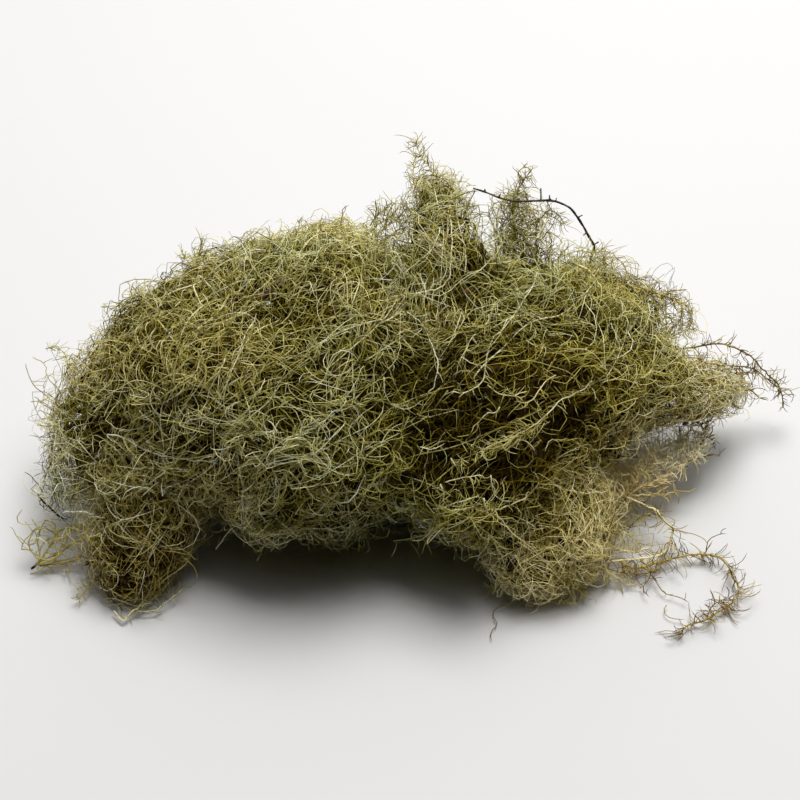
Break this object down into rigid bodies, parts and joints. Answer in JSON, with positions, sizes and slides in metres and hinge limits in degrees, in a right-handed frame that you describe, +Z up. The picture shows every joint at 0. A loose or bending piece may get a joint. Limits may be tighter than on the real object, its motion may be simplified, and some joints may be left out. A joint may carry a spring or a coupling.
{
  "type": "beard lichen clump with twig",
  "caption": "Loose, tangled clump of thread-like beard lichen that lies on a table, with trailing branches and a thin bare twig caught in its back edge.",
  "frame": {"origin": "middle of the clump's box, on the surface that it lies on", "axes": "+X along the clump's long side, with the curled trailing strand at the +X, -Y corner; +Y to the back, where the tall tuft and the twig are; +Z up"},
  "size_m": [0.1928, 0.115, 0.0662],
  "materials": {
    "lichen_green": "matt, fibrous, dry",
    "lichen_pale": "matt, fibrous, dry",
    "lichen_brown": "matt, fibrous, dry",
    "twig_bark": "rough, dry bark"
  },
  "bodies": {
    "root": {"twig": "twig_bark", "twig_tuft": "lichen_green", "left_mound": "lichen_green", "right_mound": "lichen_green", "peak_tuft": "lichen_pale", "back_right_tuft": "lichen_brown", "right_lobe": "lichen_green", "left_foot": "lichen_green", "left_side_tuft": "lichen_green", "front_right_tuft": "lichen_pale", "right_branch": "lichen_pale", "trailing_strand": "lichen_pale", "left_sprig": "lichen_brown", "right_sprig": "lichen_brown"}
  },
  "joints": []
}
